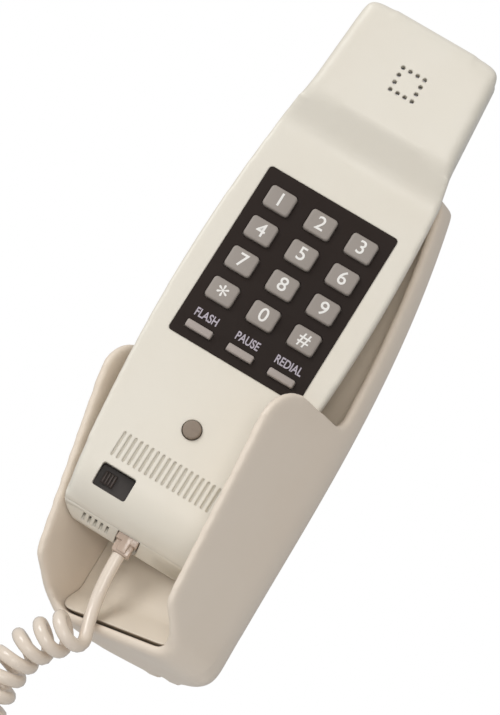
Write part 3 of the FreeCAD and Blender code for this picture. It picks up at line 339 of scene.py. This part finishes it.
def moulded(name, tone, dark, rough, edge=0.0007, coat=0.0, shine=0.5):
    """Moulded plastic: slow drifts of tone, a faint grain, worn gloss and softened edges."""
    tone, dark = colour(*tone), colour(*dark)
    finish = Finish(bpy.data.materials.new(name))
    drift, fine, scuff = finish.noise(*DRIFT), finish.noise(*FINE), finish.noise(*SCUFF)
    base = finish.blend(finish.spread(drift, 0.35, 0.7, 0.0, DRIFT_SHARE), tone, dark)
    base = finish.blend(finish.spread(scuff, 0.62, 0.8, 0.0, SCUFF_SHARE), base, dark)
    soft = finish.node("ShaderNodeBevel", {"samples": 6}, {"Radius": edge})
    finish.set(
        Base_Color=base,
        Roughness=finish.spread(scuff, 0.3, 0.75, rough - 0.05, rough + 0.1),
        Normal=finish.bump(fine, GRAIN_HEIGHT, GRAIN_STRENGTH, soft),
        Coat_Weight=coat,
        Specular_IOR_Level=shine,
    )
    return finish.holder


METAL_STREAK = (1200.0, 2.0, 0.6)
METAL_SHADE = (0.3, 0.3, 0.31, 1.0)


def plain_metal(name, tone, rough):
    """Plated steel or aluminium with fine drawn streaks."""
    finish = Finish(bpy.data.materials.new(name))
    streak = finish.noise(*METAL_STREAK)
    finish.set(
        Base_Color=finish.blend(finish.spread(streak, 0.3, 0.7, 0.0, 0.25), tone, METAL_SHADE),
        Metallic=1.0,
        Roughness=finish.spread(streak, 0.3, 0.7, rough, rough + 0.12),
    )
    return finish.holder


cradle_ivory = moulded("cradle_ivory", (227, 215, 200), (218, 199, 178), 0.4)
handset_ivory = moulded("handset_ivory", (226, 221, 209), (216, 206, 189), 0.34)
saddle_ivory = moulded("saddle_ivory", (222, 211, 195), (205, 190, 170), 0.45)
panel_brown = moulded("panel_brown", (38, 28, 23), (27, 20, 16), 0.6, edge=0.0002, shine=0.2)
key_grey = moulded("key_grey", (152, 144, 137), (132, 122, 114), 0.5, edge=0.0006)
bar_grey = moulded("bar_grey", (170, 160, 154), (146, 136, 130), 0.5, edge=0.0004)
button_grey = moulded("button_grey", (140, 126, 112), (112, 99, 88), 0.6, edge=0.0006)
dark_plastic = moulded("dark_plastic", (46, 39, 36), (32, 27, 25), 0.5, edge=0.0003)
slider_grey = moulded("slider_grey", (60, 50, 45), (44, 36, 33), 0.45, edge=0.0003)
plate_ivory = moulded("plate_ivory", (216, 205, 190), (198, 185, 168), 0.55)
rubber_black = moulded("rubber_black", (58, 58, 58), (40, 40, 40), 0.75, edge=0.0003)
board_green = moulded("board_green", (38, 96, 54), (28, 74, 42), 0.4, edge=0.0002)
clear_plug = moulded("clear_plug", (192, 172, 156), (150, 128, 114), 0.16, edge=0.0003, coat=0.4)
steel = plain_metal("plated_steel", (0.62, 0.62, 0.63, 1.0), 0.32)
tin = plain_metal("capsule_metal", (0.75, 0.75, 0.76, 1.0), 0.4)
gold = plain_metal("contact_gold", (0.85, 0.62, 0.28, 1.0), 0.25)
cord_ivory = moulded("cord_ivory", (228, 216, 202), (208, 190, 170), 0.22, edge=0.0001, coat=0.3)
digit_white = moulded("digit_white", (236, 234, 230), (214, 211, 206), 0.5, edge=0.0001)
label_lilac = moulded("label_lilac", (182, 174, 184), (160, 152, 162), 0.5, edge=0.0001)
floor_white = moulded("floor_white", (238, 238, 238), (232, 232, 232), 0.8, edge=0.0001)

# The model's own pieces; the keys are grey, and what isn't named here belongs to the cord
FINISHES = {
    "cradle_shell": cradle_ivory,
    "cradle_saddle": saddle_ivory,
    "cradle_back_plate": plate_ivory,
    "cradle_screws": steel,
    "handset_front_shell": handset_ivory,
    "handset_rear_shell": handset_ivory,
    "keypad_panel": panel_brown,
    "keypad_membrane": rubber_black,
    "circuit_board": board_green,
    "board_components": dark_plastic,
    "receiver_capsule": tin,
    "receiver_gasket": rubber_black,
    "microphone": tin,
    "microphone_boot": rubber_black,
    "hook_button": button_grey,
    "hook_switch": dark_plastic,
    "ringer_disc": gold,
    "mode_switch": dark_plastic,
    "mode_slider": slider_grey,
    "handset_jack": dark_plastic,
    "handset_plug": clear_plug,
    "wall_plug": clear_plug,
    "handset_screws": steel,
}
for name, item in nodes.items():
    finish = FINISHES.get(name, key_grey if name.startswith("key_") else cord_ivory)
    item.data.materials.clear()
    item.data.materials.append(finish)


# Handset: both shells slimmer at the ear, with soft edges; the openings are cut afterwards

# The outline from the front, a little slimmer round the ear than the model's
EAR_OUTLINE = [
    (-40, -120, 0), (40, -120, 0), (40, 20, 0), (31.0, 36, 40), (27.6, 52, 40), (24.9, 90, 0),
    (-24.9, 90, 0), (-27.6, 52, 40), (-31.0, 36, 40), (-40, 20, 0),
]
# The seam between the two shells: its depth at the mouth's end, and its rise towards the ear
MOUTH_END, SEAM_DEPTH, SEAM_RISE = -107.0, 11.4, 0.0434
# The roll over at the mouth, as an arc in the side view with a skin between two radii
ROLL_DEPTH, ROLL_HEIGHT, ROLL_OUTER, ROLL_INNER = 16, -91.7, 15.9, 13.9
# The grille's slots, the ring of ear holes and the ledge's slots
GRILLE_SLOTS = [(number - 8.5) * 2.1 for number in range(18)]
EAR_HOLES = [(i, j) for i in range(4) for j in range(4) if i in (0, 3) or j in (0, 3)]
EAR_X, EAR_Z, HOLE_PITCH = 0.8, 65.6, 2.75
LEDGE_SLOTS = (-16.5, -14.3, -12.1, -9.9, -7.7)


def ear_trim():
    """What stays of a shell, as a tool."""
    return prism(EAR_OUTLINE, -40, 60, DEPTH)


def split_depth(height):
    """How deep the seam between the two shells lies at a height."""
    return SEAM_DEPTH - (height - MOUTH_END) * SEAM_RISE


face = closed_copy("handset_front_shell", HANDSET)
arc = [math.radians(angle) for angle in (-3, 4, 11, 18, 25, 32, 37)]
roll = [
    (ROLL_DEPTH - radius * math.cos(a), ROLL_HEIGHT - radius * math.sin(a), 0)
    for radius, angles in ((ROLL_OUTER, arc), (ROLL_INNER, arc[::-1])) for a in angles
]
# The model's openings are filled: keypad, hook button, grille, slider window and ear holes
for filling in (
    block((-25.4, 0.1, -44.6), (25.4, 2.1, 22.4)),
    block((-4.6, 0.1, -73.4), (4.6, 2.1, -63.8)),
    block((-20.0, 0.1, -90.4), (20.0, 2.1, -78.9)),
    prism(roll, -19.8, -5.3, ACROSS),
    prism([(-10.1, 60, 0), (-12.2, 74, 0), (-10.2, 74.3, 0), (-8.1, 60.3, 0)], -6, 6, ACROSS),
):
    face = carved(face, filling, "UNION")
face = carved(face, ear_trim(), "INTERSECT")
# All of the front is smoothed a little, the ear block's sides and the mouth much more
face = softened(
    face, 0.6,
    (lambda at: at.y < split_depth(at.z) - 2.4, 18),
    (lambda at: at.z > 46.0 and abs(at.x) > 15.0 and at.y < split_depth(at.z) - 3.4, 70),
    (lambda at: at.z < -88.0 and at.y < split_depth(at.z) - 2.6, 60),
)
# The openings: keypad recess and window, slider window, hook button, grille and ear holes
for tool in (
    block((-24.55, -3, -43.7), (24.55, 1.1, 21.5), corner=1.2),
    block((-22.45, 0, -41.6), (22.45, 6, 19.4), corner=1.0),
    block((-18.7, -1, -99.8), (-6.4, 9, -91.8), corner=0.9),
    post((0, -68.6), 3.4, -1, 6, 40),
    gathered([
        block((x - 0.42, -1, -89.05), (x + 0.42, 0.75, -80.15), corner=0.4) for x in GRILLE_SLOTS
    ]),
    gathered([
        post(((i - 1.5) * HOLE_PITCH + EAR_X, EAR_Z + (j - 1.5) * HOLE_PITCH), 0.75, -18, -8, 16)
        for i, j in EAR_HOLES
    ]),
):
    face = carved(face, tool)
finished(
    "front_shell", face, handset_ivory, "handset", "handset_front_shell",
    HANDSET,
)

back = carved(closed_copy("handset_rear_shell", HANDSET), ear_trim(), "INTERSECT")
back = carved(back, gathered([
    block((x - 0.45, 12.6, -112.0), (x + 0.45, 16.4, -102.6)) for x in LEDGE_SLOTS
]))
finished(
    "rear_shell", back, handset_ivory, "handset", "handset_rear_shell", HANDSET,
)


# Keys, hook button, mode slider and the cord's plug, with rounded edges

PITCH_X, PITCH_Z = 15.53, 12.15
BAR_ROW = -38.9
# The depths of the caps' faces and backs, and of the flanges behind the panel
KEY_FACE, CAP_BACK = -1.7, 1.6
FLANGE_FRONT, FLANGE_BACK, FLANGE_REACH = 1.25, 2.05, 0.9
# The largest radius of a cap's front rim
RIM_LIMIT = 0.7
# Half of a cap's width and of its height, and its corner radius
KEY_SIZE, BAR_SIZE = (4.85, 3.95, 1.3), (4.8, 1.35, 0.6)
KEYS = ["1", "2", "3", "4", "5", "6", "7", "8", "9", "star", "0", "hash"]
BARS = ["flash", "pause", "redial"]
KNOB_RIDGES = (-16.5, -15.4, -14.3, -13.2)

places = {name: ((i % 3 - 1) * PITCH_X, (1 - i // 3) * PITCH_Z) for i, name in enumerate(KEYS)}
places.update({name: ((i - 1) * PITCH_X, BAR_ROW) for i, name in enumerate(BARS)})
for name, (x, z) in places.items():
    wide, high, corner = BAR_SIZE if name in BARS else KEY_SIZE
    cap = block(
        (x - wide, KEY_FACE, z - high), (x + wide, CAP_BACK, z + high),
        corner, min(corner, RIM_LIMIT), 4,
    )
    flange = block(
        (x - wide - FLANGE_REACH, FLANGE_FRONT, z - high - FLANGE_REACH),
        (x + wide + FLANGE_REACH, FLANGE_BACK, z + high + FLANGE_REACH), corner,
    )
    finish = bar_grey if name in BARS else key_grey
    key = gathered([cap, flange])
    finished(f"cap_{name}", key, finish, f"key_{name}", f"key_{name}", HANDSET)
button = gathered([
    block((-3.1, -1.2, -71.7), (3.1, 3.3, -65.5), corner=3.09, rim=0.6, steps=10),
    block((-4.6, 2.4, -73.2), (4.6, 3.35, -64.0), corner=4.59, steps=10),
])
finished("hook_cap", button, button_grey, "hook_button", "hook_button", HANDSET)
knob = gathered([
    block((-16.8, 3.3, -98.0), (-12.3, 4.2, -93.6), corner=0.4),
    *(block((x, 2.6, -97.8), (x + 0.7, 3.5, -93.8), rim=0.25, steps=3) for x in KNOB_RIDGES),
])
finished("mode_knob", knob, slider_grey, "mode_slider", "mode_slider", HANDSET)
plug = gathered([
    block((-3.8, 11.6, -109.2), (3.8, 18.0, -101.2), corner=0.35, rim=0.4, steps=3),
    block((-3.2, 12.3, -113.3), (3.2, 17.3, -109.0), corner=0.9, rim=0.6, steps=4),
    block((-1.6, 11.56, -112.6), (1.6, 12.5, -103.0), corner=0.3, rim=0.3, steps=3),
    block((-3.5, 11.57, -107.4), (3.5, 11.9, -106.6)),
    block((-3.5, 11.57, -105.2), (3.5, 11.9, -104.4)),
])
finished("cord_plug", plug, clear_plug, "handset", "handset_plug", HANDSET)


# Cradle shell: lower, rounder cheeks and a foot with soft back corners

# The side view as (depth, height, radius): the low rim, the cheeks' crown, the way to the lip
CROWN_OUTLINE = [
    (6, -100, 0), (6, 100, 0), (-22.8, 100, 0), (-22.8, -0.4, 5), (-66.5, -1.4, 16),
    (-57.9, -79.4, 0), (-57.7, -100, 0),
]
# The foot's corners are cut rounder from front to back: (front depth, back depth, radius)
FOOT_CUTS = ((-2.6, 1.0, 23.0), (-5.2, -2.5, 20.0), (-7.8, -5.1, 17.0), (-10.4, -7.7, 14.0))
# The foot's height and half its width, and how far the cuts reach past both
FOOT, FOOT_SIDE, CUT_SIDE, CUT_DROP = -94.4, 29.2, 34.0, 3.0
# The shell's width, as a share of the model's
SHELL_WIDTH = 0.972

shell = closed_copy("cradle_shell")
shell = carved(shell, prism(CROWN_OUTLINE, -60, 60, ACROSS), "INTERSECT")
quarter = [math.radians(angle) for angle in range(0, 91, 6)]
for low, high, radius in FOOT_CUTS:
    middle = FOOT_SIDE - radius
    corner = [
        (middle + radius * math.cos(a), FOOT + radius - radius * math.sin(a)) for a in quarter
    ]
    corner += [(middle, FOOT - CUT_DROP), (CUT_SIDE, FOOT - CUT_DROP), (CUT_SIDE, FOOT + radius)]
    for side in (-1, 1):
        shell = carved(shell, prism([(side * x, z, 0) for x, z in corner], low, high, DEPTH))
# The foot's notch and the edge at the wall stay sharp; the foot's corners are smoothed the most
shell = softened(
    shell, 0.75,
    (lambda at: at.y < -2.6 and (abs(at.x) > 3.5 or at.y < -6.0 or at.z > 0.0), 18),
    (lambda at: at.z < FOOT + 22.0 and at.y > -20.0 and abs(at.x) > 7.0, 75),
)
shell.transform(Matrix.Diagonal((SHELL_WIDTH, 1, 1, 1)))
finished("cradle_body", shell, cradle_ivory, "cradle", "cradle_shell")


# Lettering on the keys and on the panel: plain digits, signs and function words

SIZE_PER_HEIGHT = 1.38
LETTER_DEPTH = 0.00004
DIGIT_WEIGHT, LABEL_WEIGHT = 0.00006, 0.00008
# The height of the letters, and for the star how far its ink lies above the line's middle
DIGIT_HEIGHT, LABEL_HEIGHT, STAR_HEIGHT, STAR_DROP = 4.9, 3.0, 6.6, 1.6
PANEL_FACE, LABEL_ROW, LABEL_WIDTH = -0.3, -34.1, 0.74


def lettering(name, text, height, place, finish, body, weight, width=1.0):
    """Flat bold letters on the face, centred on a place in the handset's frame."""
    drawing = bpy.data.curves.new(name, "FONT")
    drawing.body = text
    drawing.size = height * MM * SIZE_PER_HEIGHT
    drawing.align_x = "CENTER"
    drawing.align_y = "CENTER"
    drawing.extrude = LETTER_DEPTH
    drawing.offset = weight
    mesh = mesh_of_curve(f"{name}_drawing", drawing)
    x, depth, z = place
    spot = Matrix.Translation(Vector((x, z, -depth)) * MM)
    mesh.transform(FACE @ spot @ Matrix.Diagonal((width, 1, 1, 1)))
    mesh.materials.clear()
    mesh.materials.append(finish)
    riding(name, mesh, body)


SIGNS = dict(zip(KEYS, KEYS), star="*", hash="#")
for name, (x, z) in places.items():
    if name in SIGNS:
        height, drop = (STAR_HEIGHT, STAR_DROP) if name == "star" else (DIGIT_HEIGHT, 0.0)
        at = (x, KEY_FACE - 0.01, z - drop)
        lettering(
            f"digit_{name}", SIGNS[name], height, at, digit_white, f"key_{name}",
            DIGIT_WEIGHT,
        )
    else:
        at = (x, PANEL_FACE, LABEL_ROW)
        lettering(
            f"label_{name}", name.upper(), LABEL_HEIGHT, at, label_lilac, "handset",
            LABEL_WEIGHT, LABEL_WIDTH,
        )


# Cord

ROUTE = [
    (-4.4, -49.6, -96.5),
    (-10.4, -49.8, -100.7),
    (-15.9, -50.0, -105.2),
    (-20.4, -49.8, -110.6),
    (-23.4, -49.2, -118.2),
    (-24.6, -48.2, -128.0),
    (-24.2, -46.0, -150.0),
    (-22.0, -42.0, -180.0),
    (-21.0, -40.0, -207.0),
    (-20.5, -39.0, -230.0),
]
CORD_DIAMETER = 4.5 * MM
CURL_RADIUS = 5.35 * MM
CURL_PITCH = 7.0 * MM
CURL_STEPS = 20
TUBE_SIDES = 12
# Where the cord leaves the handset's plug, a point before that, and the wall plug's end
EXIT, BEFORE_EXIT = (0, 14.8, -113.4), (0, 14.8, -112.4)
PLUG_TOP = (-44.5, -43.2, -249.8)


def spline_line(points):
    """Points along the smooth curve that has the given control points, all in metres."""
    data = bpy.data.curves.new("cord_route", "CURVE")
    data.dimensions = "3D"
    data.resolution_u = 24
    spline = data.splines.new("NURBS")
    spline.points.add(len(points) - 1)
    for knot, point in zip(spline.points, points):
        knot.co = (*point, 1.0)
    spline.order_u = 3
    spline.use_endpoint_u = True
    mesh = mesh_of_curve("cord_route", data)
    line = [vertex.co.copy() for vertex in mesh.vertices]
    bpy.data.meshes.remove(mesh)
    return line


def curls(line):
    """The cord's middle as it winds round the line, from beside the line's first point."""
    across = Vector((0, 1, 0))
    length = 0.0
    trail = []
    for here, ahead in zip(line, line[1:]):
        along = (ahead - here).normalized()
        across = (across - along * across.dot(along)).normalized()
        trail.append((length, here, across, along.cross(across)))
        length += (ahead - here).length
    turns = int(length / CURL_PITCH * 2) / 2 - 0.5
    points = []
    index = 0
    for step in range(int(turns * CURL_STEPS) + 1):
        phase = 2 * math.pi * step / CURL_STEPS
        travel = step / CURL_STEPS * CURL_PITCH
        while index + 2 < len(trail) and trail[index + 1][0] < travel:
            index += 1
        low, high = trail[index], trail[index + 1]
        share = (travel - low[0]) / (high[0] - low[0])
        middle, across, side = [low[item].lerp(high[item], share) for item in (1, 2, 3)]
        points.append(middle + (across * math.cos(phase) + side * math.sin(phase)) * CURL_RADIUS)
    return points


def tube_mesh(name, path, radius):
    """A closed round tube along points close together."""
    made = bmesh.new()
    normal = (path[1] - path[0]).orthogonal().normalized()
    rings = []
    for index, point in enumerate(path):
        before = path[max(index - 1, 0)]
        after = path[min(index + 1, len(path) - 1)]
        along = (after - before).normalized()
        normal = (normal - along * normal.dot(along)).normalized()
        turn = Matrix((normal, along.cross(normal), along)).transposed().to_4x4()
        place = Matrix.Translation(point) @ turn
        ring = bmesh.ops.create_circle(made, segments=TUBE_SIDES, radius=radius, matrix=place)
        rings.append(ring["verts"])
    for pair in zip(rings, rings[1:]):
        edges = [
            made.edges.get((ring[i], ring[(i + 1) % TUBE_SIDES]))
            for ring in pair for i in range(TUBE_SIDES)
        ]
        bmesh.ops.bridge_loops(made, edges=edges)
    for ring in (rings[0], rings[-1]):
        made.faces.new(ring)
    bmesh.ops.recalc_face_normals(made, faces=made.faces)
    mesh = made_mesh(name, made)
    for face in mesh.polygons:
        face.use_smooth = True
    return mesh


exit_point = on_handset(*EXIT)
exit_way = (exit_point - on_handset(*BEFORE_EXIT)).normalized()
helix = curls(spline_line([Vector(point) * MM for point in ROUTE]))
start_way = (helix[1] - helix[0]).normalized()
lead = spline_line([
    exit_point,
    exit_point + exit_way * 6.0 * MM,
    helix[0] - start_way * 9.0 * MM,
    helix[0] - start_way * 1.0 * MM,
])
end_way = (helix[-1] - helix[-2]).normalized()
plug_top = Vector(PLUG_TOP) * MM
tail = spline_line([
    helix[-1] + end_way * 1.0 * MM,
    helix[-1] + end_way * 15.0 * MM,
    plug_top + Vector((0, 0, 11.0 * MM)),
    plug_top,
])
cord_path = lead + helix + tail
cord_length = sum((b - a).length for a, b in zip(cord_path, cord_path[1:]))
cord_mesh = tube_mesh("handset_cord", cord_path, CORD_DIAMETER / 2)
cord_mesh.materials.append(cord_ivory)
cord = riding("handset_cord", cord_mesh, "handset")
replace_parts(cord, "cord_straight", "cord_curls", "cord_tail")


# Room: pale floor, soft lamps, bright background, camera; lengths here are metres

FLOOR_REACH, FLOOR_DROP = 2.0, 0.3
AIM = (0, -0.04, 0.0)
# The background's light from below and from above
LOW_GLOW, HIGH_GLOW = 0.26, 0.58

ground = bmesh.new()
bmesh.ops.create_grid(ground, x_segments=1, y_segments=1, size=FLOOR_REACH)
bmesh.ops.translate(ground, vec=(0, 0, cad_box[0][2] - FLOOR_DROP), verts=ground.verts)
floor = linked("floor", made_mesh("floor", ground))
floor.data.materials.append(floor_white)


def lamp(name, place, size, power, tint=(1, 1, 1)):
    """A soft square lamp at a place, aimed at the telephone."""
    light = bpy.data.lights.new(name, "AREA")
    light.shape = "SQUARE"
    light.size = size
    light.energy = power
    light.color = tint
    way = Vector(AIM) - Vector(place)
    turn = way.to_track_quat("-Z", "Y").to_matrix().to_4x4()
    linked(name, light).matrix_world = Matrix.Translation(place) @ turn


lamp("key_lamp", (-0.35, -1.4, 0.75), 0.8, 11.0)
lamp("fill_lamp", (0.85, -1.15, -0.1), 0.5, 4.2, (1.0, 0.96, 0.92))
lamp("low_lamp", (0.5, -0.8, -1.0), 0.9, 1.0, (1.0, 0.92, 0.84))

room = bpy.data.worlds.new("room")
bpy.context.scene.world = room
sky = Finish(room, "Background", "Generated")
height = sky.node("ShaderNodeSeparateXYZ", None, {0: sky.place}, out="Z")
glow = sky.spread(height, -1.0, 1.0, LOW_GLOW, HIGH_GLOW)
seen = sky.node("ShaderNodeLightPath", out="Is Camera Ray")
sky.set(Color=(1.0, 1.0, 1.0, 1.0), Strength=glow + (1.0 - glow) * seen)

# The camera, from matching the photo: its three axes, and its place along them in millimetres
RIGHT = Vector((0.78046, 0.44605, 0.43808))
UP = Vector((-0.22978, -0.44702, 0.86451))
BACK = Vector((0.58145, -0.77538, -0.24639))
SPOT_RIGHT, SPOT_UP, SPOT_BACK = 24.1, 99.36, 850.0
# The match was made in a frame that starts this much lower
MATCH_DROP = Vector((0, 0, 0.085))
FOCAL_PIXELS, PHOTO_HEIGHT, SENSOR_HEIGHT = 2550, 715, 36.0

lens = bpy.data.cameras.new("camera")
lens.sensor_fit = "VERTICAL"
lens.sensor_height = SENSOR_HEIGHT
lens.lens = FOCAL_PIXELS / PHOTO_HEIGHT * SENSOR_HEIGHT
lens.clip_start = 0.05
spot = (RIGHT * SPOT_RIGHT + UP * SPOT_UP + BACK * SPOT_BACK) * MM - MATCH_DROP
turn = Matrix((RIGHT, UP, BACK)).transposed().to_4x4()
camera = linked("camera", lens)
camera.matrix_world = Matrix.Translation(spot) @ turn
bpy.context.scene.camera = camera

bpy.context.scene.view_settings.view_transform = "Standard"
